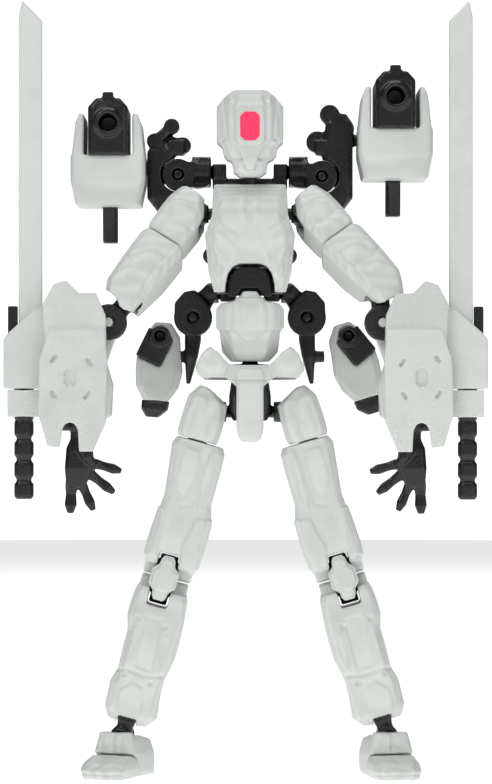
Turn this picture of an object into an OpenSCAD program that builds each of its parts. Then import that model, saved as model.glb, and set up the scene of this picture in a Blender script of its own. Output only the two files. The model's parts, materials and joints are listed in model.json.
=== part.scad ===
// Humanoid robot figure kit: a free-standing posable figure with two sword arms,
// two raised arms that carry pistols and two lower arms that carry short guns.
// The figure faces -Y and stands on z = 0. Its right side is at -X.
// Limb pieces are drawn for the right side and mirrored for the left.

/* [Stance] */
// Angle of each leg away from vertical, right then left
splay = [15.5, 16.3]; // [10:0.1:20]
// Distance of each hip pivot from the middle, right then left
hip_x = [7.6, 8.6]; // [7:0.1:10]
// Height of the hip pivots above the floor
hip_z = 73.2; // [72:0.1:75]
// How far each foot turns outward, right then left
foot_turn = [25, 12]; // [0:1:30]
// Angle of each upper arm away from vertical, right then left
arm_out = [34.3, 39.2]; // [30:0.5:45]
// Angle of each upper arm forward, right then left
arm_forward = [25, 27.5]; // [20:0.5:30]
// Angle of each elbow link away from vertical, right then left
elbow_tilt = [42.5, 7]; // [-10:0.5:60]
// Height of each pistol's bore, right then left
pistol_z = [131.2, 136.6]; // [128:0.2:138]
// Distance of each pistol's bore from the middle, right then left
pistol_x = [28.5, 29.2]; // [27:0.1:31]
// Roll of each short gun, right then left
gun_roll = [4, 17]; // [0:1:20]

/* [Joints] */
// Radius of the hinge pins
pin_r = 1; // [0.9:0.05:1.1]
// Gap between a pin and its bore
pin_gap = 0.2; // [0.15:0.05:0.25]
// Gap left beside a moving knuckle
play = 0.3; // [0.25:0.05:0.4]
// Distance between the two pins of a knee
knee_link = 4.8; // [4.8:0.1:5.2]
// Distance between the two pins of an elbow
elbow_link = 6; // [5.8:0.1:6.2]

/* [Limbs] */
// Hip pivot to the upper knee pin
thigh_len = 32.3; // [32:0.1:33]
// Lower knee pin to the ankle pin
shin_len = 26.2; // [26:0.1:27]
// Ankle pin to the foot's roll pin
ankle_len = 4.2; // [4:0.1:4.6]
// Shoulder pivot to the upper elbow pin
arm_len = 23.4; // [23.2:0.1:24]
// Distance of the shoulder pivots from the middle
shoulder_x = 10.9; // [10.8:0.1:11.5]
// Height of the shoulder pivots
shoulder_z = 113; // [112:0.1:114]

/* [Weapons] */
// Length of a sword blade above its guard
blade_len = 61.8; // [50:0.2:64]
// Width of a sword blade
blade_w = 4.7; // [4:0.1:5]
// Thickness of a sword blade
blade_t = 1.6; // [1.2:0.1:2]
// Bore of a pistol's muzzle
muzzle_r = 1.75; // [1.5:0.05:2]
// Bore of a short gun's barrel
gun_bore_r = 1.1; // [0.8:0.05:1.3]

/* [Colours] */
// Moulded shells
shell_colour = "gainsboro"; // ["gainsboro", "white", "silver"]
// Joints, hands and weapon cores
joint_colour = "black"; // ["black", "dimgray"]
// Lens in the face
gem_colour = "deeppink"; // ["deeppink", "red"]

/* [Hidden] */
$fn = 40;
R = 0;
L = 1;
bore_r = pin_r + pin_gap;
knee_r = 2.3;
knuckle_w = 3.6;
ankle_z = hip_z - (thigh_len + knee_link + shin_len + ankle_len) * cos(splay[R]);
leg_len = thigh_len + knee_link + shin_len + ankle_len;

// ---- helpers ----

// One ring of a shell: a rectangle at height z from [x0, y0] to [x1, y1], corners cut by c
function ring(s) = let (z = s[0], x0 = s[1], x1 = s[2], y0 = s[3], y1 = s[4], c = s[5])
    [[x0 + c, y0, z], [x1 - c, y0, z], [x1, y0 + c, z], [x1, y1 - c, z],
     [x1 - c, y1, z], [x0 + c, y1, z], [x0, y1 - c, z], [x0, y0 + c, z]];

// A closed shell through rings listed from the lowest to the highest
module loft(rings) {
    n = 8;
    last = len(rings) - 1;
    points = [for (s = rings) each ring(s)];
    sides = [for (k = [0 : last - 1]) for (i = [0 : n - 1])
        let (a = k * n + i, b = k * n + (i + 1) % n)
        each [[a, a + n, b + n], [a, b + n, b]]];
    polyhedron(points, concat([[for (i = [0 : n - 1]) i]],
        [[for (i = [n - 1 : -1 : 0]) last * n + i]], sides));
}

// A block between two corners
module box(lo, hi) {
    translate(lo) cube(hi - lo);
}

// A rod along X, Y or Z from a to b, at the other two coordinates p
module rod_x(a, b, p, r) {
    translate([a, p[0], p[1]]) rotate([0, 90, 0]) cylinder(h = b - a, r = r);
}

module rod_y(a, b, p, r) {
    translate([p[0], b, p[1]]) rotate([90, 0, 0]) cylinder(h = b - a, r = r);
}

module rod_z(a, b, p, r) {
    translate([p[0], p[1], a]) cylinder(h = b - a, r = r);
}

// An outline in X and Z made into a plate from y0 to y1
module plate(outline, y0, y1) {
    translate([0, y1, 0]) rotate([90, 0, 0]) linear_extrude(y1 - y0) polygon(outline);
}

// The same outline on both sides of x = 0
function mirrored(half) = concat(half, [for (i = [len(half) - 1 : -1 : 0]) [-half[i][0], half[i][1]]]);

// Puts a right-hand piece on its own side
module on_side(i) {
    if (i == L) mirror([1, 0, 0]) children();
    else children();
}

// ---- frames of the limbs ----

// Leg frame: origin at the hip pivot, -Z along the leg
module leg(i) {
    on_side(i) translate([-hip_x[i], 0, hip_z]) rotate([0, splay[i], 0]) children();
}

// Foot frame: origin on the floor below the roll pin, toes towards -Y
module foot(i) {
    on_side(i) translate([-hip_x[i] - leg_len * sin(splay[i]), 0, 0])
        rotate([0, 0, -foot_turn[i]]) children();
}

// Arm frame: origin at the shoulder pivot, -Z along the upper arm
module arm(i) {
    on_side(i) translate([-shoulder_x, 0, shoulder_z])
        rotate([-arm_forward[i], 0, 0]) rotate([0, arm_out[i], 0]) children();
}

// Direction of the upper arm, drawn for the right side
function arm_dir(i) = [-sin(arm_out[i]), -cos(arm_out[i]) * sin(arm_forward[i]),
    -cos(arm_out[i]) * cos(arm_forward[i])];
function elbow(i) = [-shoulder_x, 0, shoulder_z] + arm_len * arm_dir(i);
function wrist_side(i) = elbow(i) + elbow_link * [-sin(elbow_tilt[i]), 0, -cos(elbow_tilt[i])];

// Elbow frame: origin at the upper elbow pin
module at_elbow(i) {
    on_side(i) translate(elbow(i)) children();
}

// Forearm frame: origin at the lower elbow pin, upright
module forearm(i) {
    on_side(i) translate(wrist_side(i)) children();
}

// ---- head and trunk ----

gem = [[-1.1, -2.95], [1.1, -2.95], [2, -2], [2, 2], [1.1, 2.95], [-1.1, 2.95], [-2, 2], [-2, -2]];
gem_z = 130.2;
gem_y = -7.2;
neck_z = 117.5;
neck_y = 0.6;
neck_r = 1.5;

module head_shell() color(shell_colour) {
    difference() {
        union() {
            loft([
                [120.2, -2.0, 2.0, -5.2, 2.0, 0.6],
                [121.2, -3.3, 3.3, -5.8, 3.4, 1.0],
                [123.4, -3.6, 3.6, -6.3, 4.4, 1.2],
                [123.8, -4.6, 4.6, -5.6, 5.0, 1.4],
                [124.8, -5.3, 5.3, -5.9, 5.6, 1.6],
                [126.4, -5.6, 5.6, -6.2, 6.0, 1.8],
                [127.3, -6.7, 6.7, -6.4, 6.4, 2.2],
                [131.0, -6.7, 6.7, -6.6, 6.8, 2.4],
                [134.4, -6.7, 6.7, -6.2, 6.4, 2.4],
                [136.6, -4.9, 4.9, -4.9, 5.0, 2.0],
                [137.8, -3.4, 3.4, -3.4, 3.4, 1.2]]);
            // Raised face panel that narrows to the chin
            loft([
                [121.6, -1.0, 1.0, -6.9, -3, 0.4],
                [123.8, -1.4, 1.4, -7.3, -3, 0.5],
                [127.3, -3.2, 3.2, -7.4, -3, 0.6],
                [134.2, -3.3, 3.3, -7.2, -3, 0.6],
                [136.8, -2.6, 2.6, -5.6, -3, 0.6]]);
        }
        translate([0, 0, gem_z]) plate(gem, gem_y - 2, gem_y + 0.6);
        rod_z(110, 126, [0, neck_y], neck_r + 0.25);
    }
}

module visor_gem() color(gem_colour) {
    translate([0, 0, gem_z]) plate(gem, gem_y - 0.3, gem_y + 0.6);
}

module neck_joint() color(joint_colour) {
    rod_x(-2.4, 2.4, [neck_y, neck_z], neck_r);
    rod_x(-4.4, 4.4, [neck_y, neck_z], pin_r);
    rod_z(neck_z, 125.6, [0, neck_y], neck_r);
}

tilt_z = 99.6;
arch = mirrored([[-5.0, 96], [-4.9, 98.8], [-4.4, 100.9], [-3.4, 102.3], [-2.0, 102.9]]);

module trunk_openings() {
    plate(arch, -12, 12);
    rod_x(-4.4, 4.4, [0, tilt_z], 2.9);
}

module chest_armor() color(shell_colour) {
    difference() {
        loft([
            [97.2, -7.2, 7.2, -5.8, -1.2, 0.9],
            [101.0, -8.3, 8.3, -7.2, -1.2, 1.6],
            [108.7, -9.0, 9.0, -8.0, -1.2, 2.2],
            [112.6, -7.6, 7.6, -7.6, -1.2, 2.0],
            [116.2, -7.5, 7.5, -6.0, -1.2, 1.8],
            [118.9, -7.3, 7.3, -2.4, -1.2, 0.5]]);
        trunk_openings();
        rod_z(115.8, 121, [0, neck_y], 2.3);
        // Clasp notch under each lower corner
        for (s = [-1, 1]) translate([s * 6.3, -5.8, 97.2]) cube([1.6, 2.4, 1.4], center = true);
    }
}

module back_armor() color(shell_colour) {
    difference() {
        loft([
            [99.0, -6.8, 6.8, 2.2, 5.6, 0.9],
            [102.0, -7.8, 7.8, 2.2, 6.4, 1.4],
            [106.5, -8.4, 8.4, 2.2, 6.4, 1.6],
            [109.0, -8.0, 8.0, 2.2, 6.4, 1.6],
            [114.5, -7.2, 7.2, 2.2, 6.0, 1.6],
            [118.4, -6.6, 6.6, 2.2, 4.6, 0.8]]);
        trunk_openings();
        rod_z(115.8, 121, [0, neck_y], 2.3);
        box([-5.4, 2, 98], [5.4, 7, 101.8]);
        for (s = [-1, 1]) rod_y(2, 7, [s * post[0], post[1]], post_r);
    }
}

upper_ear = [9.4, 122];
lower_ear = [11, 97.4];
shoulder_peg_r = 1.2;
post = [2.6, 108];
post_r = 1.2;

module chest_frame() color(joint_colour) {
    difference() {
        union() {
            // Core slab between the armour halves
            loft([
                [97.0, -6.9, 6.9, -1.2, 2.2, 0.5],
                [101.0, -8.2, 8.2, -1.2, 2.2, 0.5],
                [108.7, -8.6, 8.6, -1.2, 2.2, 0.5],
                [112.0, -7.5, 7.5, -1.2, 2.2, 0.5],
                [118.4, -7.0, 7.0, -1.2, 2.2, 0.5],
                [119.2, -4.9, 4.9, -1.2, 2.2, 0.4]]);
            // Rounded lobes show beside the chest
            for (s = [-1, 1]) rod_y(-1.0, 2.2, [s * 7.8, 104.6], 1.7);
            // Spine plate behind the back armour, with posts through it
            box([-4.6, 6.6, 104.5], [4.6, 9.0, 120.6]);
            box([-6.4, 6.6, 98.6], [6.4, 9.0, 104.5]);
            // Upper ears carry the raised arms, lower ears the lower arms
            box([-7.6, 7.4, 118.4], [7.6, 11.2, 120.6]);
            for (s = [-1, 1]) {
                translate([s * 6.2, 0, 0]) box([-1.4, 7.6, 119], [1.4, 11.2, 123.6]);
                translate([s * 4.4, 0, 0]) box([-1.6, 7.4, 95.6], [1.6, 12.6, 99.4]);
            }
        }
        // Seat of the tilt knuckle and of the neck knuckle
        rod_x(-4.2, 4.2, [0, tilt_z], 2.9);
        box([-4.2, -2, 90], [4.2, 3, tilt_z]);
        rod_x(-6.3, 6.3, [0, tilt_z], bore_r);
        box([-2.7, -2, neck_z], [2.7, 3, 121]);
        rod_x(-2.7, 2.7, [neck_y, neck_z], neck_r + play);
        rod_x(-4.7, 4.7, [neck_y, neck_z], bore_r);
    }
    for (s = [-1, 1]) {
        rod_x(s > 0 ? 6.9 : -9.2, s > 0 ? 9.2 : -6.9, [0, shoulder_z], shoulder_peg_r);
        rod_x(s > 0 ? 7.4 : -10.6, s > 0 ? 10.6 : -7.4, upper_ear, shoulder_peg_r);
        rod_x(s > 0 ? 5.8 : -8.4, s > 0 ? 8.4 : -5.8, lower_ear, shoulder_peg_r);
        // Posts that join the core slab to the spine plate
        rod_y(2.0, 7.0, [s * post[0], post[1]], post_r);
    }
}

bust = mirrored([[-4.4, 96.4], [-4.35, 98.4], [-3.9, 100.4], [-3.0, 101.7], [-1.8, 102.3]]);
bust_inner = mirrored([[-2.6, 96.0], [-2.4, 96.9], [-1.6, 97.9]]);
turn_r = 1.5;

module abdomen_frame() color(joint_colour) {
    rod_x(-3.9, 3.9, [0, tilt_z], 2.5);
    rod_x(-6.1, 6.1, [0, tilt_z], pin_r);
    difference() {
        plate(bust, -3.4, -1.8);
        plate(bust_inner, -4, 0);
    }
    box([-2.2, -2.4, 96.4], [2.2, 2.4, 99.0]);
}

module belly_armor() color(shell_colour) {
    difference() {
        loft([
            [83.3, -3.9, 3.9, -4.2, 4.2, 1.4],
            [85.2, -5.6, 5.6, -4.9, 4.9, 2.4],
            [89.4, -6.1, 6.1, -5.9, 5.2, 2.0],
            [90.0, -6.7, 6.7, -6.2, 5.4, 2.0],
            [93.6, -6.7, 6.7, -6.2, 5.4, 2.0],
            [94.9, -5.7, 5.7, -5.8, 4.6, 1.8],
            [95.5, -3.2, 3.2, -5.2, 3.6, 1.0],
            [96.4, -2.2, 2.2, -4.8, 2.8, 0.7]]);
        rod_z(80, 87.4, [0, 0], turn_r + pin_gap);
    }
    // Raised tongue at the top of the front
    loft([
        [94.6, -3.0, 3.0, -5.6, -3.8, 0.6],
        [97.4, -1.4, 1.4, -4.9, -3.8, 0.4]]);
}

hip_peg_r = 1.2;
waist_tab = [[-2, 2.2, 77], [2, 5.6, 80]];

module pelvis_frame() color(joint_colour) {
    difference() {
        loft([
            [71.4, -3.4, 3.4, -2.8, 2.8, 0.8],
            [73.2, -4.2, 4.2, -3.6, 3.6, 1.0],
            [76.4, -4.2, 4.2, -4.4, 4.0, 1.0],
            [80.4, -3.6, 3.6, -4.4, 3.6, 1.0],
            [82.8, -3.2, 3.2, -3.0, 3.0, 1.0]]);
        box(waist_tab[0], waist_tab[1]);
    }
    rod_z(80, 87, [0, 0], turn_r);
    for (i = [R, L]) on_side(i) {
        rod_x(-hip_x[i] + 1.7, -4, [0, hip_z], hip_peg_r);
    }
}

module waist_armor() color(shell_colour) {
    lobe = [[-2.6, 82.6], [-3.9, 82.6], [-7.9, 86.3], [-9.6, 84.8], [-10.8, 82.6], [-10.8, 81.2],
        [-9.2, 80.1], [-4.8, 80.1], [-2.6, 78.2]];
    plate(mirrored(lobe), -7.4, -4.4);
    // Flared side skirts run back round the hips
    for (i = [R, L]) on_side(i) loft([
        [80.1, -10.0, -7.8, -7.0, 4.6, 0.6],
        [82.0, -10.8, -8.2, -7.2, 5.2, 0.6],
        [84.6, -9.8, -8.0, -7.0, 4.6, 0.4],
        [86.1, -8.5, -7.7, -6.4, 3.8, 0.2]]);
    // Back plate with a tab that presses into the pelvis block
    box([-9.4, 4.2, 79.6], [9.4, 5.6, 82.8]);
    box(waist_tab[0], waist_tab[1]);
    // Front plate hangs between the thighs
    plate(mirrored([[-1.4, 67.2], [-2.1, 67.8], [-2.7, 69.6], [-2.7, 80.6], [-2.2, 81.9]]), -8.6, -6.6);
    box([-2.6, -6.7, 76.6], [2.6, -4.4, 80.4]);
}

// ---- arms ----

shoulder_knuckle = [2.4, 2.0];
elbow_r = 3.6;
elbow_knuckle_r = 2.4;
elbow_reach = [-30, 0, 30];

module shoulder_joint(i) color(joint_colour) {
    on_side(i) translate([-shoulder_x, 0, shoulder_z]) rotate([-arm_forward[i], 0, 0]) {
        difference() {
            union() {
                rod_x(0, 2.6, [0, 0], 1.9);
                rod_y(-shoulder_knuckle[1], shoulder_knuckle[1], [0, 0], shoulder_knuckle[0]);
            }
            rod_x(1.3, 4, [0, 0], shoulder_peg_r + pin_gap);
        }
        rod_y(-3.7, 3.7, [0, 0], pin_r);
    }
}

module shoulder_shell(i) color(shell_colour) {
    arm(i) difference() {
        loft([
            [-9.2, -5.2, 2.6, -4.2, 4.2, 1.0],
            [-8.0, -5.6, 2.9, -4.7, 4.7, 1.2],
            [-3.4, -5.8, 3.0, -4.9, 4.9, 1.4],
            [-0.8, -5.8, 2.6, -4.7, 4.7, 1.4],
            [2.6, -5.0, 0.4, -4.2, 4.2, 1.2]]);
        rod_y(-2.3, 2.3, [0, 0], 2.8);
        box([-2.8, -2.3, -3.2], [9, 2.3, 9]);
        rod_y(-3.9, 3.9, [0, 0], bore_r);
        rod_z(-12, -4.4, [-1.4, 0], 2.0);
    }
}

module upper_arm(i) color(shell_colour) {
    arm(i) rod_z(-11, -4.8, [-1.4, 0], 1.8);
    difference() {
        arm(i) loft([
            [-27.8, -2.6, 2.0, -3.8, 3.8, 0.8],
            [-25.4, -4.2, 2.6, -4.2, 4.2, 1.0],
            [-23.0, -5.4, 3.0, -4.4, 4.4, 1.2],
            [-17.0, -5.7, 3.8, -4.9, 4.9, 1.4],
            [-10.6, -5.8, 3.9, -4.9, 4.9, 1.4],
            [-9.5, -5.3, 3.3, -4.4, 4.4, 1.0]]);
        at_elbow(i) rotate([0, elbow_tilt[i], 0]) {
            // Room for the elbow disc round the two cheeks, and for its link between them
            difference() {
                for (q = elbow_reach) rotate([0, q, 0]) rod_y(-9, 9, [0, -elbow_link], elbow_r + play);
                rod_y(-9.5, 9.5, [0, 0], elbow_link - elbow_r - play);
            }
            for (q = elbow_reach) rotate([0, q, 0]) box([-2.1, -2.1, -9], [2.1, 2.1, 0]);
            rod_y(-2.1, 2.1, [0, 0], elbow_knuckle_r + play);
            rod_y(-3.6, 3.6, [0, 0], bore_r);
        }
    }
}

module elbow_joint(i) color(joint_colour) {
    at_elbow(i) rotate([0, elbow_tilt[i], 0]) {
        rod_y(-1.8, 1.8, [0, 0], elbow_knuckle_r);
        rod_y(-3.4, 3.4, [0, 0], pin_r);
        difference() {
            union() {
                translate([0, 0, -elbow_link]) rod_y(-3.6, 3.6, [0, 0], elbow_r);
                box([-1.8, -1.8, -elbow_link], [1.8, 1.8, 0]);
            }
            translate([0, 0, -elbow_link]) {
                rod_y(-1.7, 1.7, [0, 0], elbow_knuckle_r + play);
                box([-9, -1.7, -9], [9, 1.7, 2.0]);
                rod_y(-4, 4, [0, 0], bore_r);
            }
        }
    }
}

wrist = [-6.2, -20.6];
sword_x = -16.75;
sword_y = -2;
bracket_z = [-18.8, -13.4];
plate_outline = [[-11.4, -1.4], [-13.4, -7.2], [-13.7, -18.2], [-11.8, -24.6], [-9.4, -24.8],
    [-9.0, -21.4], [-8.4, -20.2], [-7.4, -19.8], [-6.4, -20.2], [-5.8, -21.4],
    [-5.6, -25.6], [-2.8, -25.6], [-0.3, -19.9], [0, -7.6], [-0.6, -1.4]];
wedge_outline = [[-12.4, -3.6], [-12.8, 3.4], [-10.7, 7.4], [-8.2, 8.2], [-5.7, 5.7], [-2.3, 5.7],
    [-0.4, 1.4], [-0.2, -3.6]];
slots = [[-10.6, -7.3, 35], [-3.6, -8.0, -35], [-10.7, -14.3, -35], [-4.0, -14.5, 35]];

module forearm_shield(i) color(shell_colour) {
    forearm(i) {
        difference() {
            union() {
                plate(plate_outline, -7.8, -6.2);
                plate(wedge_outline, -7.3, -5.5);
            }
            // Centre slot and four slanted vents
            translate([-7.4, 0, -10.9]) plate(mirrored([[-0.5, -1.8], [-1.1, -1.2], [-1.1, 1.2], [-0.5, 1.8]]),
                -9, -6.9);
            for (s = slots) translate([s[0], 0, s[1]]) rotate([0, s[2], 0])
                box([-0.35, -9, -0.9], [0.35, -6.9, 0.9]);
        }
        difference() {
            union() {
                loft([
                    [-19.4, -9.2, -0.6, -3.0, 2.6, 0.8],
                    [-18.6, -10.4, 0.6, -4.4, 3.6, 1.0],
                    [-12.4, -11.4, 0.9, -4.9, 4.0, 1.2],
                    [-7.4, -11.0, -0.6, -4.9, 4.0, 1.2],
                    [-4.6, -9.6, -2.6, -4.6, 3.2, 0.8]]);
                box([-11.0, -6.4, -18.0], [-1.4, -4.6, -5.0]);
                plate([[-2.4, 0], [-6.6, -5.6], [-0.4, -8.2], [2.2, -1.0]], -1.4, 1.4);
                rod_y(-1.4, 1.4, [0, 0], elbow_knuckle_r);
            }
            translate([wrist[0], 0, wrist[1]]) {
                rod_x(-1.7, 1.7, [0, 0], 2.0);
                box([-1.7, -4.8, -9], [1.7, 4.8, 0.8]);
                rod_x(-3.4, 3.4, [0, 0], bore_r);
            }
        }
        rod_y(-3.5, 3.5, [0, 0], pin_r);
        // Sword bracket on the outer edge
        difference() {
            union() {
                box([-19.9, -4.6, bracket_z[0]], [-13.4, 0.6, bracket_z[1]]);
                box([-13.6, -4.6, -17.8], [-10.0, -1.6, -14.2]);
            }
            rod_z(-25, -5, [sword_x, sword_y], 2.3);
        }
    }
}

guard_outline = [[-20.7, -13.2], [-20.7, -3.4], [-19.6, -2.0], [-14.6, 2.5], [-12.2, 2.5], [-12.2, -13.2]];

module sword_blade(i) color(shell_colour) {
    tip = 2.1 + blade_len;
    left = sword_x - 1.05;
    forearm(i) {
        difference() {
            plate(guard_outline, -4.6, 0.6);
            rod_z(-20, -8, [sword_x, sword_y], 2.0);
            box([-20.0, -3.2, -9.6], [-17.9, -0.8, 9]);
            box([-18.0, -3.2, -9.6], [sword_x, -0.8, -8]);
        }
        plate([[left, 0], [left, tip - 3.2], [left + 0.7, tip], [left + blade_w, tip - 4],
            [left + blade_w, 0]], sword_y - blade_t / 2, sword_y + blade_t / 2);
    }
}

module sword_grip(i) color(joint_colour) {
    pitch = 4.1;
    low = -35.1;
    forearm(i) {
        rod_z(-19.2, -8.2, [sword_x, sword_y], 1.95);
        translate([sword_x, sword_y, 0]) loft([
            for (k = [0 : 3]) each [
                [low + k * pitch, -1.5, 1.5, -1.3, 1.3, 0.4],
                [low + k * pitch + 0.5, -1.9, 1.9, -1.6, 1.6, 0.8],
                [low + k * pitch + 3.0, -1.9, 1.9, -1.6, 1.6, 0.8],
                [low + k * pitch + 3.5, -1.4, 1.4, -1.2, 1.2, 0.4]],
            [-18.8, -1.4, 1.4, -1.2, 1.2, 0.4]]);
        box([-19.9, -3.1, -9.5], [-18.0, -0.9, 3.2]);
        box([-18.1, -3.1, -9.5], [sword_x, -0.9, -8.2]);
    }
}

// Fingers: start x and z, lean towards the body, length, half thickness
fingers = [[-1.2, -10.8, 2, 6.6, 1.2], [0.4, -10.6, -24, 6.8, 1.0], [1.8, -9.0, -52, 7.0, 1.0],
    [2.4, -7.2, -74, 6.6, 1.0]];

module hand(i) color(joint_colour) {
    forearm(i) translate([wrist[0], 0, wrist[1]]) {
        rod_x(-1.4, 1.4, [0, 0], 1.7);
        rod_x(-3.2, 3.2, [0, 0], pin_r);
        // Palm
        loft([
            [-12.2, -2.2, 1.4, -1.4, 1.4, 0.4],
            [-8.4, -2.5, 3.4, -2.0, 2.0, 0.6],
            [-4.4, -2.2, 3.0, -1.9, 1.9, 0.6],
            [-2.6, -1.4, 1.4, -1.4, 1.4, 0.4],
            [-0.6, -1.4, 1.4, -1.4, 1.4, 0.4]]);
        // Thumb crosses the palm in front
        translate([0.6, -1.4, -4.2]) rotate([0, -38, 0]) loft([
            [-4.6, -0.6, 0.6, -1.2, 0.6, 0.3], [-2.4, -1.0, 1.0, -1.6, 0.8, 0.4], [0, -0.9, 0.9, -1.2, 0.8, 0.3]]);
        for (f = fingers) translate([f[0], 0, f[1]]) rotate([0, f[2], 0]) loft([
            [-f[3], -f[4] * 0.5, f[4] * 0.5, -0.9, 0.5, 0.2],
            [-f[3] * 0.75, -f[4], f[4], -1.1, 0.7, 0.3],
            [-f[3] * 0.45, -f[4] * 0.85, f[4] * 0.85, -0.8, 0.9, 0.3],
            [-f[3] * 0.2, -f[4], f[4], -1.0, 1.0, 0.3],
            [1.2, -f[4] * 0.9, f[4] * 0.9, -1.0, 1.0, 0.3]]);
    }
}

// ---- legs ----

hip_knuckle = [2.5, 2.4];
knee_z = [-thigh_len, -thigh_len - knee_link];
knee_x = -0.4;
slot_w = knuckle_w / 2 + play;
ankle_pin_z = knee_z[1] - shin_len;

module hip_joint(i) color(joint_colour) {
    on_side(i) translate([-hip_x[i], 0, hip_z]) {
        difference() {
            union() {
                rod_x(0, hip_x[i] - 4.7, [0, 0], 2.1);
                rod_y(-hip_knuckle[1], hip_knuckle[1], [0, 0], hip_knuckle[0]);
            }
            rod_x(1.4, 6, [0, 0], hip_peg_r + pin_gap);
        }
        rod_y(-4.0, 4.0, [0, 0], pin_r);
    }
}

module upper_thigh(i) color(shell_colour) {
    leg(i) difference() {
        loft([
            [-6.2, -5.4, 2.6, -4.4, 4.4, 1.2],
            [-5.0, -5.7, 2.9, -4.8, 4.8, 1.3],
            [-1.5, -5.7, 2.9, -5.0, 5.0, 1.4],
            [2.0, -5.5, 2.7, -4.6, 4.6, 1.4],
            [4.6, -3.8, -1.6, -3.2, 3.2, 0.8]]);
        rod_y(-2.7, 2.7, [0, 0], 2.9);
        box([-2.9, -2.7, -2.9], [9, 2.7, 9]);
        rod_y(-4.2, 4.2, [0, 0], bore_r);
        rod_z(-9, -3.2, [-1.3, 0], 2.0);
    }
}

module lower_thigh(i) color(shell_colour) {
    leg(i) {
        rod_z(-9, -3.6, [-1.3, 0], 1.8);
        difference() {
            union() {
                loft([
                    [knee_z[0], -5.1, 5.2, -4.2, 2.5, 1.2],
                    [-31.0, -5.4, 5.6, -4.6, 3.2, 1.4],
                    [-27.8, -5.5, 5.8, -4.9, 4.9, 1.4],
                    [-21.6, -5.1, 5.8, -5.1, 5.1, 1.4],
                    [-18.4, -4.8, 4.9, -5.2, 5.2, 1.4],
                    [-11.0, -5.7, 4.9, -5.4, 5.4, 1.4],
                    [-7.9, -6.1, 4.8, -5.2, 5.2, 1.4],
                    [-6.5, -5.5, 4.0, -4.6, 4.6, 1.2]]);
                rod_x(-4.9, 5.0, [0, knee_z[0]], knee_r);
            }
            knee_slot(knee_z[0]);
        }
    }
}

// Space between the cheeks of a knee fork, and the bore through them
module knee_slot(z) {
    side = z == knee_z[0] ? [z - 4, z + 2.7] : [z - 3.4, z + 4];
    box([knee_x - slot_w, -9, side[0]], [knee_x + slot_w, 9, side[1]]);
    rod_x(-4.7, 4.3, [0, z], bore_r);
}

module knee_frame(i) color(joint_colour) {
    leg(i) {
        for (z = knee_z) {
            rod_x(knee_x - knuckle_w / 2, knee_x + knuckle_w / 2, [0, z], z == knee_z[0] ? knee_r : knee_r + 0.7);
            rod_x(-4.5, 4.1, [0, z], pin_r);
        }
        box([knee_x - knuckle_w / 2, -3.9, knee_z[1] - 1.6], [knee_x + knuckle_w / 2, 1.5, knee_z[0] + 1.2]);
    }
}

module knee_cap(i) color(shell_colour) {
    cap = mirrored([[-1.0, -39.2], [-1.5, -38.4], [-1.6, -37.4], [-2.8, -36.2], [-2.8, -33.2],
        [-1.6, -32.0], [-1.4, -30.8], [-0.9, -30.1]]);
    leg(i) translate([knee_x, 0, 0]) {
        plate(cap, -5.2, -3.9);
        plate([for (p = cap) [p[0] * 0.78, (p[1] + 34.7) * 0.84 - 34.7]], -5.9, -5.2);
    }
}

module shin_shell(i) color(shell_colour) {
    leg(i) difference() {
        union() {
            loft([
                [ankle_pin_z - 1.3, -3.8, 4.0, -3.0, 2.4, 0.8],
                [ankle_pin_z + 0.8, -5.1, 5.8, -4.0, 3.6, 1.4],
                [-57.4, -5.3, 5.2, -4.6, 4.2, 1.4],
                [-54.6, -4.5, 5.2, -4.8, 4.6, 1.4],
                [-50.0, -4.7, 6.1, -5.2, 5.6, 1.6],
                [-46.5, -4.7, 6.1, -5.4, 6.0, 1.8],
                [-43.5, -5.6, 6.0, -5.4, 5.8, 1.6],
                [-41.4, -5.6, 5.8, -5.2, 4.9, 1.4],
                [-38.4, -5.4, 5.5, -4.8, 3.2, 1.2],
                [knee_z[1], -5.0, 5.0, -4.2, 2.5, 1.0]]);
            rod_x(-4.8, 4.8, [0, knee_z[1]], knee_r);
        }
        knee_slot(knee_z[1]);
        // Ankle fork
        rod_x(-2.1, 2.1, [0, ankle_pin_z], 2.2);
        box([-2.1, -6, ankle_pin_z - 6], [2.1, 6, ankle_pin_z]);
        rod_x(-3.4, 3.4, [0, ankle_pin_z], bore_r);
    }
}

module ankle_joint(i) color(joint_colour) {
    leg(i) {
        rod_x(-1.8, 1.8, [0, ankle_pin_z], 1.9);
        rod_x(-3.2, 3.2, [0, ankle_pin_z], pin_r);
        box([-1.6, -1.5, ankle_pin_z - ankle_len], [1.6, 1.5, ankle_pin_z]);
    }
    foot(i) {
        translate([0, 0, ankle_z]) {
            rod_y(-1.7, 1.7, [0, 0], 2.0);
            rod_y(-3.2, 3.2, [0, 0], pin_r);
        }
    }
}

toe_y = -4.6;
toe_z = 1.9;
toe_r = 2.6;

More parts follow.
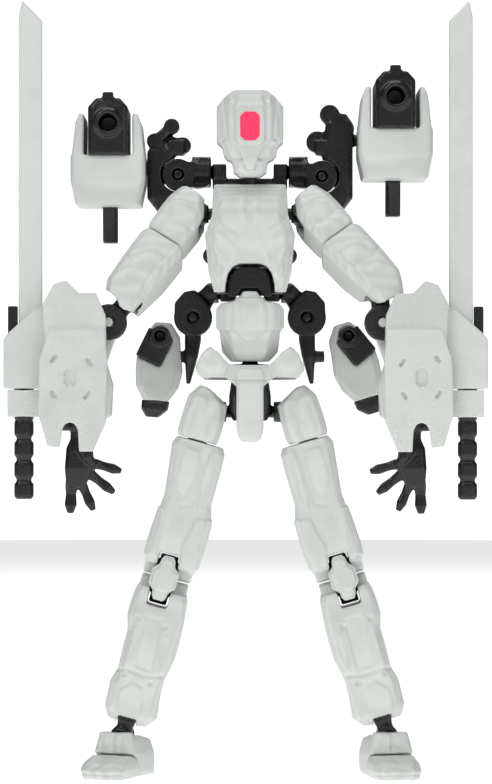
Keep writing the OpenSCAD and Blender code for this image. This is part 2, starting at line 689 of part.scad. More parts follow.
module foot_heel(i) color(shell_colour) {
    foot(i) {
        difference() {
            union() {
                box([-4.0, toe_y, 0], [4.0, 6.2, 1.2]);
                loft([
                    [0.6, -4.4, 4.4, -5.4, 6.6, 1.2],
                    [3.2, -4.6, 4.6, -5.4, 6.8, 1.4],
                    [4.8, -4.5, 4.5, -5.2, 6.6, 1.4],
                    [7.2, -4.0, 4.0, -4.8, 5.8, 1.4],
                    [9.0, -3.4, 3.4, -4.2, -2.0, 0.6]]);
            }
            rod_x(-6, 6, [toe_y, toe_z], toe_r + play);
            box([-6, -12, -1], [6, toe_y, 20]);
            // Ankle seat
            translate([0, 0, ankle_z]) {
                rod_y(-2.0, 2.0, [0, 0], 2.4);
                box([-6, -2.0, 0], [6, 3.4, 6]);
                rod_y(-3.4, 3.4, [0, 0], bore_r);
            }
        }
        // Two ears hold the toe pin
        for (s = [-1, 1]) translate([s * 2.6, 0, 0]) {
            rod_x(-0.9, 0.9, [toe_y, toe_z], 1.5);
            box([-0.9, toe_y, toe_z - 1.5], [0.9, toe_y + 3.6, toe_z + 1.5]);
        }
        rod_x(-3.3, 3.3, [toe_y, toe_z], pin_r);
    }
}

module foot_toe(i) color(shell_colour) {
    foot(i) difference() {
        intersection() {
            loft([
                [0.0, -4.4, 4.4, -10.6, 0, 1.6],
                [1.8, -4.9, 4.9, -11.0, 0, 1.8],
                [3.2, -4.7, 4.7, -9.8, 0, 1.8],
                [4.5, -4.2, 4.2, -6.0, 0, 1.2]]);
            union() {
                box([-6, -14, -1], [6, toe_y, 9]);
                rod_x(-6, 6, [toe_y, toe_z], toe_r);
            }
        }
        for (s = [-1, 1]) translate([s * 2.6, 0, 0]) {
            rod_x(-1.2, 1.2, [toe_y, toe_z], 1.8);
            box([-1.2, toe_y, -1], [1.2, toe_y + 6, 9]);
            box([-1.2, toe_y - 1.8, -1], [1.2, toe_y + 6, toe_z]);
        }
        rod_x(-3.6, 3.6, [toe_y, toe_z], bore_r);
    }
}

// ---- raised arms with pistols ----

raise = [14.6, 9.4];
raise_z = [121.4, 121.0];
palm_z = [122.6, 128.4];

// Knuckles of the raised hands: y, and x and z of the two ends of a finger
knuckles = [
    [[8.0, [-19.4, 128.2], [-15.9, 131.2], 1.6], [10.8, [-17.0, 128.2], [-13.7, 127.5], 1.7]],
    [[8.0, [-19.2, 130.6], [-16.2, 133.6], 2.0], [10.8, [-17.4, 129.2], [-13.7, 128.2], 2.2]]];

module rear_arm(i) color(joint_colour) {
    h = [-raise[0], raise[1], raise_z[i]];
    on_side(i) {
        difference() {
            union() {
                rod_x(-11.8, -7.9, upper_ear, 3.2);
                plate([[-11.4, 119.2], [-11.4, 123.4], [-10.4, 125.0], [-8.6, 124.8],
                    [-7.9, 123.6], [-7.9, 119.8], [-8.8, 118.9], [-11.0, 118.6]],
                    upper_ear[0] - 2.4, upper_ear[0] + 2.4);
            }
            rod_x(-10.9, -7.0, upper_ear, shoulder_peg_r + pin_gap);
        }
        difference() {
            union() {
                rod_y(raise[1] - 3.2, raise[1] + 3.2, [h[0], h[2]], fork_r);
                box([h[0], raise[1] - 3.2, h[2] - 2.6], [-11.4, raise[1] + 3.2, h[2] + 2.6]);
            }
            rod_y(raise[1] - 1.7, raise[1] + 1.7, [h[0], h[2]], 2.9);
            box([h[0] - 5, raise[1] - 1.7, h[2] - 5], [h[0] + 1, raise[1] + 1.7, h[2] + 5]);
            rod_y(0, 20, [h[0], h[2]], bore_r);
        }
    }
}

fork_r = 3.2;

module rear_hand(i) color(joint_colour) {
    h = [-raise[0], raise[1], raise_z[i]];
    top = palm_z[i] + 5.4;
    on_side(i) {
        rod_y(raise[1] - 1.4, raise[1] + 1.4, [h[0], h[2]], 2.2);
        rod_y(raise[1] - 3.1, raise[1] + 3.1, [h[0], h[2]], pin_r);
        box([-19.0, raise[1] - 1.4, h[2] - 1.8], [h[0], raise[1] + 1.4, h[2] + 1.8]);
        difference() {
            // Palm wraps round the fork beside the pistol
            union() {
                loft([
                    [113.6, -18.6, -14.4, 7.0, 11.8, 0.6],
                    [116.6, -20.9, -14.0, 6.2, 12.4, 0.8],
                    [top - 2, -20.9, -15.4, 6.2, 12.4, 0.8],
                    [top, -19.6, -16.2, 7.0, 11.8, 0.6]]);
                box([-16.6, 6.4, 125.4], [-13.4, 12.2, 128.4]);
            }
            rod_y(0, 20, [h[0], h[2]], fork_r + play);
            box([-18, raise[1] - 1.7, h[2] - 2.4], [-9, raise[1] + 1.7, h[2] + 2.4]);
            box([h[0] - 1, 0, h[2] - 3.4], [-9, 20, h[2] + 3.4]);
        }
        rod_x(-22.4, -20, [raise[1], palm_z[i]], shoulder_peg_r);
        // Two fingers curl over the arm in front of the palm
        for (f = knuckles[i]) {
            w = f[3];
            plate([[f[1][0], f[1][1] - w], [f[1][0], f[1][1] + w * 0.8], [f[2][0], f[2][1] + w * 0.8],
                [f[2][0], f[2][1] - w * 0.8]], f[0] - 1.3, f[0] + 1.3);
            rod_y(f[0] - 1.5, f[0] + 1.5, f[1], w);
            rod_y(f[0] - 1.5, f[0] + 1.5, f[2], w);
        }
    }
}

pistol_y = 1.6;

module pistol_frame(i) {
    on_side(i) translate([-pistol_x[i], pistol_y, pistol_z[i]]) children();
}

core = [[-1.5, 7.2, -16.4], [1.5, 12.2, -6.4]];

module pistol_body(i) color(shell_colour) {
    low = [-7.4, 7.2];
    pistol_frame(i) difference() {
        union() {
            loft([
                [-16.4, low[0] + 0.8, low[1] - 0.8, -3.2, 15.0, 0.8],
                [-11.6, low[0] - 0.2, low[1] + 0.2, -4.2, 16.0, 0.8],
                [-6.4, low[0] - 0.2, low[1] + 0.2, -4.2, 16.0, 0.8]]);
            for (s = [-1, 1]) loft([
                [-6.4, s * 6.1 - 1.2, s * 6.1 + 1.2, -4.2, 16.0, 0.4],
                [0.2, s * 5.7 - 0.9, s * 5.7 + 0.9, -3.8, 15.0, 0.3],
                [2.0, s * 5.4 - 0.5, s * 5.4 + 0.5, -3.0, 14.0, 0.2]]);
        }
        // Seat of the palm peg
        rod_x(pistol_x[i] - 22.7, 9, [raise[1] - pistol_y, palm_z[i] - pistol_z[i]],
            shoulder_peg_r + pin_gap);
        box(core[0], core[1]);
    }
}

module pistol_slide(i) color(joint_colour) {
    pistol_frame(i) {
        difference() {
            union() {
                loft([
                    [-6.4, -4.0, 4.0, -5.4, 15.6, 0.6],
                    [3.2, -4.0, 4.0, -5.4, 15.6, 0.6],
                    [5.0, -2.4, 2.4, -4.8, 15.0, 0.5]]);
                box([-1.1, -5.0, 4.4], [1.1, -3.4, 6.2]);
                box([-1.4, 13.0, 4.4], [1.4, 14.4, 5.8]);
                rod_y(-6.0, 2.0, [0, 0], 2.75);
            }
            rod_y(-8, 0.5, [0, 0], muzzle_r);
        }
        // Core through the frame to the grip under it
        box(core[0], core[1]);
        loft([
            [-23.6, -1.5, 1.5, 8.0, 13.0, 0.5],
            [-16.4, -1.5, 1.5, 7.0, 12.4, 0.5]]);
    }
}

// ---- lower arms with short guns ----

low_elbow = [-11.6, 92.4];
gun_pivot_z = 84.4;
gun_z = 88.6;
gun_x = [18.3, 20.0];

module lower_arm(i) color(joint_colour) {
    y = lower_ear[0];
    on_side(i) {
        difference() {
            union() {
                rod_x(-8.8, -6.3, lower_ear, 2.1);
                plate([[-8.8, 99.2], [-6.5, 97.0], [-8.6, 93.2], [-11.2, 96.8]], y - 1.9, y + 1.9);
                rod_y(y - 3.0, y + 3.0, low_elbow, 3.9);
                plate([[-15.4, 92.6], [-15.3, 95.4], [-13.4, 97.6], [-11.2, 98.0], [-8.4, 95.0], [-8.4, 92.0]],
                    y - 3.0, y + 3.0);
            }
            rod_x(-8.6, -5, lower_ear, shoulder_peg_r + pin_gap);
            rod_y(y - 1.6, y + 1.6, low_elbow, 2.9);
            box([-19, y - 1.6, 84], [-4, y + 1.6, low_elbow[1] - 0.6]);
            box([-19, y - 1.6, 84], [low_elbow[0], y + 1.6, 99]);
            rod_y(0, 20, low_elbow, bore_r);
        }
    }
}

module lower_forearm(i) color(joint_colour) {
    y = lower_ear[0];
    on_side(i) {
        rod_y(y - 1.3, y + 1.3, low_elbow, 2.3);
        rod_y(y - 2.9, y + 2.9, low_elbow, pin_r);
        loft([
            [78.8, -13.0, -12.2, y - 0.6, y + 0.6, 0.15],
            [gun_pivot_z, -13.3, -10.6, y - 1.6, y + 1.6, 0.4],
            [87.6, -13.3, -10.0, y - 1.3, y + 1.3, 0.4],
            [low_elbow[1], -13.3, -9.9, y - 1.3, y + 1.3, 0.4]]);
        rod_x(-15.2, -13, [y, gun_pivot_z], shoulder_peg_r);
    }
}

module gun_frame(i) {
    on_side(i) translate([-gun_x[i], 0, gun_z]) rotate([0, gun_roll[i], 0]) children();
}

// Black block under the muzzle; a core ties it to the magazine below the body
gun_core = [[-1.4, 7.0, -13.2], [1.4, 11.0, -4.0]];

module gun_block(gap, front) {
    rotate([0, 22, 0]) box([-2.7 - gap, front, -5.6 - gap], [2.7 + gap, 7.8, 0.6]);
}

module gun_body(i) color(shell_colour) {
    y = lower_ear[0];
    difference() {
        gun_frame(i) difference() {
            union() {
                loft([
                    [-13.2, -2.6, 2.6, 6.6, 15.0, 1.0],
                    [-10.4, -4.2, 4.4, 6.2, 17.2, 1.4],
                    [-7.0, -4.5, 5.0, 6.0, 17.8, 1.4],
                    [-3.4, -4.4, 4.4, 6.2, 17.8, 1.4],
                    [0.0, -3.0, 4.0, 7.4, 17.0, 1.2],
                    [2.8, -1.2, 2.0, 8.4, 16.0, 0.5]]);
            }
            rod_y(0, 9.4, [0, 0], 2.0);
            gun_block(0.1, 0);
            box(gun_core[0], gun_core[1]);
        }
        on_side(i) {
            // Room beside the forearm and the seat of its peg
            box([-13.7, 8.9, 70], [-9, 22, 96]);
            rod_x(-15.5, -12, [y, gun_pivot_z], shoulder_peg_r + pin_gap);
        }
    }
}

module gun_barrel(i) color(joint_colour) {
    gun_frame(i) {
        difference() {
            rod_y(4.4, 9.4, [0, 0], 1.95);
            rod_y(3, 8.4, [0, 0], gun_bore_r);
        }
        difference() {
            gun_block(0, 5.2);
            rod_y(3, 8.4, [0, 0], gun_bore_r);
        }
        box(gun_core[0], gun_core[1]);
        loft([
            [-16.6, -1.8, 0.8, 8.4, 12.0, 0.5],
            [-15.0, -2.8, 2.6, 7.6, 12.8, 0.6],
            [-13.2, -2.8, 2.8, 7.6, 12.8, 0.6]]);
    }
}

head_shell();
visor_gem();
neck_joint();
chest_armor();
back_armor();
chest_frame();
abdomen_frame();
belly_armor();
pelvis_frame();
waist_armor();
shoulder_joint(R);  // shoulder_joint_r
shoulder_shell(R);  // shoulder_shell_r
upper_arm(R);  // upper_arm_r
elbow_joint(R);  // elbow_joint_r
forearm_shield(R);  // forearm_shield_r
sword_blade(R);  // sword_blade_r
sword_grip(R);  // sword_grip_r
hand(R);  // hand_r
hip_joint(R);  // hip_joint_r
upper_thigh(R);  // upper_thigh_r
lower_thigh(R);  // lower_thigh_r
knee_frame(R);  // knee_frame_r
knee_cap(R);  // knee_cap_r
shin_shell(R);  // shin_shell_r
ankle_joint(R);  // ankle_joint_r
foot_heel(R);  // foot_heel_r
foot_toe(R);  // foot_toe_r
rear_arm(R);  // rear_arm_r
rear_hand(R);  // rear_hand_r
pistol_body(R);  // pistol_body_r
pistol_slide(R);  // pistol_slide_r
lower_arm(R);  // lower_arm_r
lower_forearm(R);  // lower_forearm_r
gun_body(R);  // gun_body_r
gun_barrel(R);  // gun_barrel_r
shoulder_joint(L);  // shoulder_joint_l
shoulder_shell(L);  // shoulder_shell_l
upper_arm(L);  // upper_arm_l
elbow_joint(L);  // elbow_joint_l
forearm_shield(L);  // forearm_shield_l
sword_blade(L);  // sword_blade_l
sword_grip(L);  // sword_grip_l
hand(L);  // hand_l
hip_joint(L);  // hip_joint_l
upper_thigh(L);  // upper_thigh_l
lower_thigh(L);  // lower_thigh_l
knee_frame(L);  // knee_frame_l
knee_cap(L);  // knee_cap_l
shin_shell(L);  // shin_shell_l
ankle_joint(L);  // ankle_joint_l
foot_heel(L);  // foot_heel_l
foot_toe(L);  // foot_toe_l
rear_arm(L);  // rear_arm_l
rear_hand(L);  // rear_hand_l
pistol_body(L);  // pistol_body_l
pistol_slide(L);  // pistol_slide_l
lower_arm(L);  // lower_arm_l
lower_forearm(L);  // lower_forearm_l
gun_body(L);  // gun_body_l
gun_barrel(L);  // gun_barrel_l
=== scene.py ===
import json
import math

import bmesh
import bpy
import numpy as np
from mathutils import Matrix, Vector


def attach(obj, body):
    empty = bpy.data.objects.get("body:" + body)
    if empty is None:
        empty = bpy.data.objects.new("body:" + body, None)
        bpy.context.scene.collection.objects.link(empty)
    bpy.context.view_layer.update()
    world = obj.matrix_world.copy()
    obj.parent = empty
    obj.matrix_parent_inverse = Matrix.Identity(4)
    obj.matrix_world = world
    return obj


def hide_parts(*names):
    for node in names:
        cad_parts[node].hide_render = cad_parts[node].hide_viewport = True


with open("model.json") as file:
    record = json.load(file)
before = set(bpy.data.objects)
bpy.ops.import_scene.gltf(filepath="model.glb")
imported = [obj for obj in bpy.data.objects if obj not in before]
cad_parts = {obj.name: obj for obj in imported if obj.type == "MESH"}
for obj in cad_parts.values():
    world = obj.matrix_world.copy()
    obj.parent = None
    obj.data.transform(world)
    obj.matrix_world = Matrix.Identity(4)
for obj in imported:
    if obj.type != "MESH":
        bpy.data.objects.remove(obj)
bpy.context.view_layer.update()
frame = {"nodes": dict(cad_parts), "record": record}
MM = 0.001
SIDES = {"r": 0, "l": 1}

# ---- where the limbs of the frame stand, in mm (as in part.scad) ----
SPLAY = (15.5, 16.3)
HIP_X = (7.6, 8.6)
HIP_Z = 73.2
LEG_LEN = 67.5
FOOT_TURN = (25, 12)
SHOULDER_X, SHOULDER_Z = 10.9, 113
ARM_OUT = (34.3, 39.2)
ARM_FORWARD = (25, 27.5)
ARM_LEN = 23.4
ELBOW_LINK = 6.0
ELBOW_TILT = (42.5, 7)
KNEE_X = -0.4


def turn(axis, deg):
    return Matrix.Rotation(math.radians(deg), 4, axis)


def shift(x, y, z):
    return Matrix.Translation((x, y, z))


def mirrored(i):
    return Matrix.Scale(-1, 4, (1, 0, 0)) if i else Matrix.Identity(4)


def leg(i):
    return mirrored(i) @ shift(-HIP_X[i], 0, HIP_Z) @ turn("Y", SPLAY[i])


def foot(i):
    x = -HIP_X[i] - LEG_LEN * math.sin(math.radians(SPLAY[i]))
    return mirrored(i) @ shift(x, 0, 0) @ turn("Z", -FOOT_TURN[i])


def arm(i):
    return (mirrored(i) @ shift(-SHOULDER_X, 0, SHOULDER_Z)
            @ turn("X", -ARM_FORWARD[i]) @ turn("Y", ARM_OUT[i]))


def forearm(i):
    tip = (shift(-SHOULDER_X, 0, SHOULDER_Z) @ turn("X", -ARM_FORWARD[i])
           @ turn("Y", ARM_OUT[i])) @ Vector((0, 0, -ARM_LEN))
    q = math.radians(ELBOW_TILT[i])
    return mirrored(i) @ shift(tip.x - ELBOW_LINK * math.sin(q), tip.y,
                               tip.z - ELBOW_LINK * math.cos(q))


def trunk(i=0):
    return Matrix.Identity(4)


# ---- relief carved into the print, as height over the front of a piece ----

def smooth(x):
    x = np.clip(x, 0, 1)
    return x * x * (3 - 2 * x)


def segment_distance(p, a, b):
    a, b = np.array(a, float), np.array(b, float)
    d = b - a
    t = np.clip(((p - a) @ d) / max(d @ d, 1e-12), 0, 1)
    return np.linalg.norm(p - a - t[:, None] * d, axis=1)


def line_distance(p, points, closed=False):
    ends = list(zip(points[:-1], points[1:]))
    if closed:
        ends.append((points[-1], points[0]))
    return np.min([segment_distance(p, a, b) for a, b in ends], axis=0)


def inside(p, points):
    x, y = p[:, 0], p[:, 1]
    hit = np.zeros(len(p), bool)
    for (x0, y0), (x1, y1) in zip(points, points[1:] + points[:1]):
        cross = (y0 > y) != (y1 > y)
        with np.errstate(divide="ignore", invalid="ignore"):
            at = (x1 - x0) * (y - y0) / (y1 - y0) + x0
        hit ^= cross & (x < at)
    return hit


def groove(points, width=0.5, depth=0.3, closed=False):
    return lambda p: -depth * smooth(1 - line_distance(p, points, closed) / width)


def ridge(points, width=0.7, height=0.25):
    return lambda p: height * smooth(1 - line_distance(p, points) / width)


def pad(points, height=0.35, soft=0.5):
    """A raised (or, with a negative height, sunken) panel with soft edges."""
    def at(p):
        d = line_distance(p, points, True)
        signed = np.where(inside(p, points), d, -d)
        return height * smooth(signed / soft + 0.5)
    return at


def dimple(x, z, r=0.75, depth=0.4):
    return lambda p: -depth * smooth(1.35 - np.hypot(p[:, 0] - x, p[:, 1] - z) / r)


def bump(x, z, rx, rz, height, angle=0):
    c, s = math.cos(math.radians(angle)), math.sin(math.radians(angle))

    def at(p):
        u, v = p[:, 0] - x, p[:, 1] - z
        return height * smooth(1.2 - np.hypot((u * c + v * s) / rx, (v * c - u * s) / rz))
    return at


def both(maker, points, *rest, **more):
    """The same feature on both sides of x = 0."""
    other = [(-x, z) for x, z in points]
    return [maker(list(points), *rest, **more), maker(other, *rest, **more)]


# ---- materials ----

def node_tree(name):
    m = bpy.data.materials.new(name)
    m.use_nodes = True
    t = m.node_tree
    t.nodes.clear()
    out = t.nodes.new("ShaderNodeOutputMaterial")
    p = t.nodes.new("ShaderNodeBsdfPrincipled")
    t.links.new(p.outputs[0], out.inputs[0])
    return m, t, p


def add(t, kind, inputs=None, **props):
    n = t.nodes.new(kind)
    for k, v in props.items():
        setattr(n, k, v)
    for k, v in (inputs or {}).items():
        if isinstance(v, bpy.types.NodeSocket):
            t.links.new(v, n.inputs[k])
        else:
            n.inputs[k].default_value = v
    return n


def printed_plastic(name, dark, light, rough, grain_rough, layer_bump, grain_bump, spec, coat):
    """Nozzle-printed plastic: layer lines that follow the depth of the surface, and a
    sparkling weave of strands where a face lies flat on the layers (attribute "grain")."""
    m, t, p = node_tree(name)
    co = add(t, "ShaderNodeTexCoord").outputs["Object"]
    grain = add(t, "ShaderNodeAttribute", attribute_name="grain").outputs["Fac"]
    cloud = add(t, "ShaderNodeTexNoise", {"Vector": co, "Scale": 160.0, "Detail": 4.0,
                                          "Roughness": 0.6}).outputs[0]
    layers = add(t, "ShaderNodeTexWave", {"Vector": co, "Scale": 3140.0, "Distortion": 0.8,
                                          "Detail": 2.0, "Detail Scale": 0.35},
                 wave_type="BANDS", bands_direction="Y").outputs["Fac"]
    wide = add(t, "ShaderNodeTexWave", {"Vector": co, "Scale": 300.0, "Distortion": 2.5,
                                        "Detail": 2.0, "Detail Scale": 0.6},
               wave_type="BANDS", bands_direction="Y").outputs["Fac"]
    strands = add(t, "ShaderNodeTexVoronoi", {"Vector": co, "Scale": 2600.0},
                  feature="F1").outputs["Distance"]
    speckle = add(t, "ShaderNodeTexNoise", {"Vector": co, "Scale": 2300.0, "Detail": 3.0,
                                            "Roughness": 0.7}).outputs[0]
    tone = add(t, "ShaderNodeMath", {0: cloud, 1: wide}, operation="ADD").outputs[0]
    tone = add(t, "ShaderNodeMapRange", {"Value": tone, "From Min": 0.35, "From Max": 1.6}).outputs[0]
    mix = add(t, "ShaderNodeMix", data_type="RGBA")
    t.links.new(tone, mix.inputs[0])
    mix.inputs[6].default_value = (*dark, 1)
    mix.inputs[7].default_value = (*light, 1)
    t.links.new(mix.outputs[2], p.inputs["Base Color"])
    r = add(t, "ShaderNodeMapRange", {"Value": grain, "To Min": rough, "To Max": grain_rough}).outputs[0]
    vary = add(t, "ShaderNodeMath", {0: speckle, 1: 0.16}, operation="MULTIPLY").outputs[0]
    r = add(t, "ShaderNodeMath", {0: r, 1: vary}, operation="ADD").outputs[0]
    t.links.new(r, p.inputs["Roughness"])
    rest = add(t, "ShaderNodeMath", {0: 1.0, 1: grain}, operation="SUBTRACT").outputs[0]
    b1 = add(t, "ShaderNodeMath", {0: rest, 1: layer_bump}, operation="MULTIPLY").outputs[0]
    b2 = add(t, "ShaderNodeMath", {0: grain, 1: grain_bump}, operation="MULTIPLY").outputs[0]
    both_grain = add(t, "ShaderNodeMath", {0: strands, 1: speckle}, operation="ADD").outputs[0]
    n1 = add(t, "ShaderNodeBump", {"Strength": b1, "Height": layers, "Distance": 0.00006}).outputs[0]
    n2 = add(t, "ShaderNodeBump", {"Strength": b2, "Height": both_grain, "Distance": 0.00012,
                                   "Normal": n1}).outputs[0]
    t.links.new(n2, p.inputs["Normal"])
    p.inputs["Specular IOR Level"].default_value = spec
    p.inputs["Coat Weight"].default_value = coat
    p.inputs["Coat Roughness"].default_value = 0.22
    return m


SHELL = printed_plastic("pale_print", (0.68, 0.71, 0.68), (0.77, 0.80, 0.765), 0.30, 0.42,
                        0.20, 0.9, 0.45, 0.12)
BLACK = printed_plastic("black_print", (0.0012, 0.0012, 0.0016), (0.004, 0.004, 0.005), 0.20, 0.30,
                        0.18, 0.9, 0.5, 0.25)


def gem_material():
    m, t, p = node_tree("pink_gem")
    co = add(t, "ShaderNodeTexCoord").outputs["Object"]
    cell = add(t, "ShaderNodeTexVoronoi", {"Vector": co, "Scale": 2200.0}).outputs["Distance"]
    mix = add(t, "ShaderNodeMix", {0: cell}, data_type="RGBA")
    mix.inputs[6].default_value = (1.0, 0.07, 0.17, 1)
    mix.inputs[7].default_value = (0.86, 0.02, 0.08, 1)
    t.links.new(mix.outputs[2], p.inputs["Base Color"])
    n = add(t, "ShaderNodeBump", {"Strength": 0.7, "Height": cell, "Distance": 0.0001}).outputs[0]
    t.links.new(n, p.inputs["Normal"])
    p.inputs["Roughness"].default_value = 0.28
    # painted glow: a weak pink emission makes the gem glow, though it is no lamp
    p.inputs["Emission Color"].default_value = (1.0, 0.03, 0.12, 1)
    p.inputs["Emission Strength"].default_value = 0.35
    return m


GEM = gem_material()
FINISH = {"shell": SHELL, "joint": BLACK, "visor": GEM}
SLOT_OF = {s["node"]: s["material_slot"] for s in frame["record"]["subparts"]}
BODY_OF = {n: b for b, ns in frame["record"]["behaviour"]["bodies"].items() for n in ns}

# ---- pieces: the frame's solids with rounded edges and relief ----

DETAILS = {}      # piece: (frame function, [relief], how far round the front it reaches)
GRAIN = {}        # piece: strength of the flat print weave
VOXEL = {}
SOFT = {}


def detail(name, where, reliefs, reach=0.25, back=False):
    DETAILS.setdefault(name, []).append((where, reliefs, reach, back))


def printed(node):
    base = node[:-2] if node[-2:] in ("_r", "_l") else node
    i = SIDES.get(node[-1], 0) if node[-2:] in ("_r", "_l") else 0
    pale = SLOT_OF[node] == "shell"
    voxel = VOXEL.get(base, 0.24 if pale else 0.26) * MM
    rounds = SOFT.get(base, 7 if pale else 3)
    bm = bmesh.new()
    bm.from_mesh(frame["nodes"][node].data)
    bmesh.ops.remove_doubles(bm, verts=bm.verts, dist=1e-6)
    form = bpy.data.meshes.new(node + "_form")
    bm.to_mesh(form)
    bm.free()
    raw = bpy.data.objects.new(node + "_form", form)
    bpy.context.collection.objects.link(raw)
    m = raw.modifiers.new("voxels", "REMESH")
    m.mode = "VOXEL"
    m.voxel_size = voxel
    m = raw.modifiers.new("soft", "SMOOTH")
    m.factor = 0.5
    m.iterations = rounds
    shape = bpy.data.meshes.new_from_object(raw.evaluated_get(bpy.context.evaluated_depsgraph_get()))
    bpy.data.objects.remove(raw)
    co = np.empty(len(shape.vertices) * 3, np.float32)
    shape.vertices.foreach_get("co", co)
    co = co.reshape(-1, 3).astype(float)
    nv = np.empty_like(co, dtype=np.float32)
    shape.vertex_normals.foreach_get("vector", nv.ravel())
    nv = nv.astype(float)
    for where, reliefs, reach, back in DETAILS.get(base, ()):
        inv = np.array(where(i).inverted())
        local = (co / MM) @ inv[:3, :3].T + inv[:3, 3]
        facing = nv @ inv[:3, :3].T[:, 1]
        mask = smooth(((facing if back else -facing) - reach) / 0.35)
        height = sum(r(local[:, [0, 2]]) for r in reliefs)
        co += nv * (mask * height * MM)[:, None]
    shape.vertices.foreach_set("co", co.astype(np.float32).ravel())
    flat = smooth((np.abs(nv[:, 1]) - 0.93) / 0.05) * GRAIN.get(node, GRAIN.get(base, 0.12 if pale else 0.5))
    a = shape.attributes.new("grain", "FLOAT", "POINT")
    a.data.foreach_set("value", flat.astype(np.float32))
    shape.polygons.foreach_set("use_smooth", [True] * len(shape.polygons))
    shape.materials.clear()
    shape.materials.append(FINISH[SLOT_OF[node]])
    shape.update()
    o = bpy.data.objects.new(node + "_print", shape)
    bpy.context.collection.objects.link(o)
    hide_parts(node)
    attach(o, BODY_OF[node])
    return o


# Head: face plate edges, cheek dimples, brow and jaw lines
detail("head_shell", trunk,
       both(ridge, [(-4.0, 136.4), (-3.7, 127.8), (-1.4, 123.2)], 0.6, 0.22)
       + both(groove, [(-5.4, 136.2), (-4.6, 127.4), (-2.4, 122.6)], 0.6, 0.18)
       + [dimple(-5.35, 127.6, 0.5, 0.35), dimple(5.35, 127.6, 0.5, 0.35),
          pad([(-2.5, 133.6), (2.5, 133.6), (2.9, 132.6), (2.9, 127.8), (2.0, 126.7), (-2.0, 126.7),
               (-2.9, 127.8), (-2.9, 132.6)], 0.3, 0.5)]
       + both(groove, [(-6.6, 125.4), (-4.6, 124.2)], 0.4, 0.2), 0.2)
# Chest: centre rib, breast folds, flank facets
detail("chest_armor", trunk,
       both(ridge, [(-1.5, 118.2), (-1.3, 109.0)], 0.9, 0.16)
       + both(groove, [(-0.4, 118.4), (-0.3, 109.4)], 0.5, 0.1)
       + both(groove, [(-7.4, 112.2), (-4.6, 110.2), (-2.4, 108.6)], 1.1, 0.35)
       + both(ridge, [(-7.8, 110.2), (-5.2, 108.2), (-3.0, 105.4), (-3.6, 103.2)], 0.9, 0.3)
       + both(ridge, [(-8.4, 107.8), (-6.0, 104.6), (-6.4, 98.4)], 0.8, 0.28)
       + both(groove, [(-6.9, 103.6), (-5.0, 101.8), (-5.2, 98.0)], 0.8, 0.2)
       + [bump(0, 107.0, 2.6, 1.6, 0.2)], 0.15)
detail("belly_armor", trunk,
       [pad([(-7.4, 96), (7.4, 96), (7.4, 90.0), (3.2, 89.4), (1.0, 87.4), (-1.0, 87.4), (-3.2, 89.4),
             (-7.4, 90.0)], 0.4, 0.6)]
       + both(ridge, [(-2.3, 95.6), (-2.4, 90.6)], 0.7, 0.22)
       + both(groove, [(-3.4, 95.4), (-3.5, 90.4)], 0.6, 0.2), 0.2)
detail("waist_armor", trunk,
       both(groove, [(-3.7, 83.0), (-4.8, 80.0)], 0.7, 0.4)
       + [bump(-7.7, 83.4, 2.6, 2.8, 0.7), bump(7.7, 83.4, 2.6, 2.8, 0.7),
          pad([(-2.1, 79.0), (2.1, 79.0), (2.1, 69.6), (1.4, 68.0), (-1.4, 68.0), (-2.1, 69.6)], 0.22, 0.5),
          groove([(-2.8, 79.6), (2.8, 79.6)], 0.4, 0.35)], 0.15)
# Arms
detail("shoulder_shell", arm,
       [bump(-2.0, -2.4, 3.0, 2.0, 0.75, 20), bump(-1.0, -7.0, 3.4, 1.1, 0.3)]
       + [groove([(-5.0, -5.2), (-1.0, -5.6), (2.8, -5.0)], 0.6, 0.25)], 0.1)
detail("upper_arm", arm,
       [bump(-1.2, -14.6, 2.2, 2.8, 0.5), bump(-1.8, -20.4, 1.9, 1.6, 0.3),
        groove([(2.2, -10.0), (1.6, -17.4), (2.4, -23.0)], 0.7, 0.3),
        groove([(-5.0, -17.2), (-2.4, -18.2), (1.0, -17.4)], 0.7, 0.25)], 0.1)
# Legs
detail("upper_thigh", leg,
       [ridge([(-3.0, 2.0), (-3.2, -5.6)], 1.0, 0.3), ridge([(0.4, 2.0), (0.4, -5.6)], 1.0, 0.3),
        groove([(-1.4, 3.4), (-1.4, -1.8)], 0.8, 0.3)], 0.1)
detail("lower_thigh", leg,
       [pad([(-3.1, -8.2), (-0.2, -8.2), (-0.1, -15.2), (-0.8, -17.4), (-2.4, -16.6), (-3.2, -14.4)], 0.32, 0.6),
        ridge([(2.3, -7.6), (2.3, -13.4), (2.7, -19.4)], 0.7, 0.3),
        groove([(1.1, -8.0), (1.0, -14.0), (0.6, -18.8), (-0.9, -19.6)], 0.9, 0.28),
        pad([(-5.8, -20.6), (-3.9, -21.2), (-3.0, -30.6), (-6.0, -31.5)], 0.4, 0.6),
        pad([(6.0, -20.8), (2.6, -21.6), (2.2, -24.6), (1.3, -27.4), (1.9, -31.5), (6.2, -31.5)], 0.4, 0.6),
        bump(-0.8, -24.6, 1.6, 3.0, 0.2)], 0.1)
detail("knee_cap", leg,
       [pad([(KNEE_X - 1.5, -37.0), (KNEE_X + 1.5, -37.0), (KNEE_X + 1.7, -33.2), (KNEE_X, -31.6),
             (KNEE_X - 1.7, -33.2)], 0.18, 0.4)], 0.2)
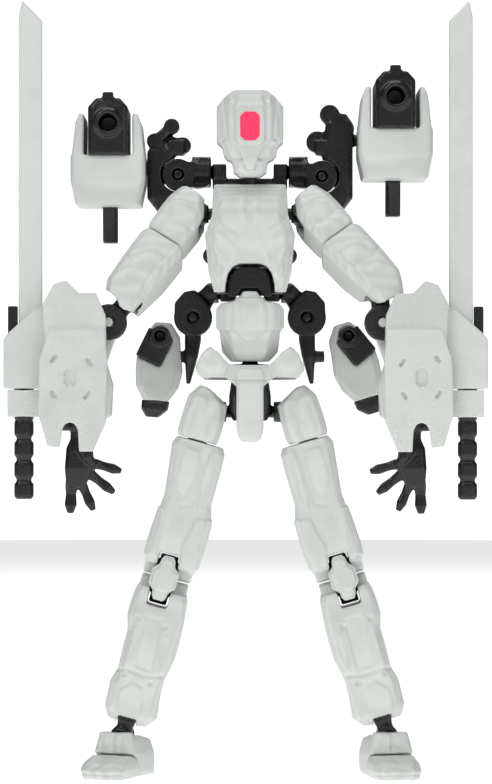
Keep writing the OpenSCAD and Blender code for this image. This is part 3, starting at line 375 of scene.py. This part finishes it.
detail("shin_shell", leg,
       [pad([(-1.8, -42.6), (1.9, -42.6), (2.1, -53.6), (-1.3, -53.2)], -0.35, 0.6),
        dimple(-3.3, -43.7, 0.65, 0.45), dimple(2.3, -44.0, 0.65, 0.45),
        dimple(2.7, -55.7, 0.6, 0.45), dimple(-3.1, -55.3, 0.6, 0.4),
        groove([(-5.4, -55.0), (-2.4, -54.2), (0.6, -54.6), (4.6, -53.8)], 0.7, 0.35),
        pad([(-0.8, -56.4), (-2.9, -58.6), (-2.4, -64.8), (2.5, -64.8), (1.5, -57.2)], 0.35, 0.5),
        ridge([(3.4, -46.0), (4.0, -52.6)], 0.9, 0.25), ridge([(-3.4, -46.0), (-3.0, -52.6)], 0.9, 0.25)], 0.1)
detail("foot_heel", foot,
       [groove([(0, 9.4), (0, 5.4)], 0.7, 0.35), groove([(-3.2, 6.0), (3.2, 6.0)], 0.6, 0.25)], 0.05)
detail("foot_toe", foot,
       [groove([(-4.8, 1.1), (4.8, 1.1)], 0.35, 0.2), bump(-1.9, 3.6, 1.7, 1.1, 0.3),
        bump(1.9, 3.6, 1.7, 1.1, 0.3)], 0.05)

GRAIN.update({"forearm_shield": 1.0, "shoulder_shell_l": 0.8, "knee_cap": 0.7, "waist_armor": 0.35,
              "upper_arm_l": 0.4, "chest_frame": 1.0, "lower_arm": 0.8, "elbow_joint": 0.8})
SOFT.update({"sword_blade": 3, "forearm_shield": 4, "visor_gem": 3, "knee_cap": 4, "hand": 3,
             "waist_armor": 6, "head_shell": 6, "chest_armor": 9, "belly_armor": 8})
VOXEL.update({"knee_cap": 0.2, "visor_gem": 0.15, "head_shell": 0.22, "hand": 0.22, "sword_grip": 0.22,
              "gun_barrel": 0.2, "neck_joint": 0.22, "sword_blade": 0.26})

for name in frame["nodes"]:
    printed(name)

# ---- stage, light and camera ----

FLOOR_R = 1.2        # the floor's edge, in metres
BACKDROP_R = 2.9     # a ring round every camera, so that no side is hidden
RING = 64

def studio():
    s = bpy.context.scene
    world = bpy.data.worlds.new("studio")
    s.world = world
    world.use_nodes = True
    bg = world.node_tree.nodes["Background"]
    bg.inputs[0].default_value = (1, 1, 1, 1)
    bg.inputs[1].default_value = 0.15
    s.view_settings.view_transform = "Standard"
    mesh = bpy.data.meshes.new("floor")
    bm = bmesh.new()
    bmesh.ops.create_circle(bm, cap_ends=True, segments=96, radius=FLOOR_R)
    bm.to_mesh(mesh)
    bm.free()
    floor = bpy.data.objects.new("floor", mesh)
    bpy.context.collection.objects.link(floor)
    m, t, p = node_tree("paper")
    p.inputs["Base Color"].default_value = (0.9, 0.9, 0.9, 1)
    p.inputs["Roughness"].default_value = 0.9
    p.inputs["Emission Color"].default_value = (1, 1, 1, 1)
    p.inputs["Emission Strength"].default_value = 0.6
    mesh.materials.append(m)
    wall_mesh = bpy.data.meshes.new("backdrop")
    ring = [(BACKDROP_R * math.cos(math.tau * k / RING), BACKDROP_R * math.sin(math.tau * k / RING), z)
            for z in (-2.5, 3.0) for k in range(RING)]
    wall_mesh.from_pydata(ring, [], [(k, (k + 1) % RING, RING + (k + 1) % RING, RING + k)
                                     for k in range(RING)])
    wall = bpy.data.objects.new("backdrop", wall_mesh)
    bpy.context.collection.objects.link(wall)
    glow, tree, shader = node_tree("backdrop")
    shader.inputs["Base Color"].default_value = (1, 1, 1, 1)
    shader.inputs["Emission Color"].default_value = (1, 1, 1, 1)
    shader.inputs["Emission Strength"].default_value = 1.0
    wall_mesh.materials.append(glow)
    wall.visible_diffuse = False
    wall.visible_glossy = False
    for name, place, size, power in (("key", (-0.45, -0.75, 0.75), 0.5, 3.0),
                                     ("fill", (0.6, -0.8, 0.35), 0.7, 1.2),
                                     ("top", (0.0, -0.05, 0.8), 0.5, 1.9),
                                     ("rim", (0.0, 0.7, 0.5), 0.6, 1.2)):
        light = bpy.data.lights.new(name, "AREA")
        light.size = size
        light.energy = power
        o = bpy.data.objects.new(name, light)
        o.location = place
        aim = Vector((0, 0, 0.08)) - o.location
        o.rotation_euler = aim.to_track_quat("-Z", "Y").to_euler()
        bpy.context.collection.objects.link(o)
    cam = bpy.data.cameras.new("camera")
    cam.sensor_fit = "VERTICAL"
    cam.sensor_height = 36
    distance = 0.75
    cam.lens = 36 * (distance - 0.005) / 0.1568
    cam.clip_start = 0.01
    o = bpy.data.objects.new("camera", cam)
    o.location = (-0.0008, -distance, 0.0772)
    o.rotation_euler = (math.radians(90), 0, 0)
    bpy.context.collection.objects.link(o)
    s.camera = o


studio()
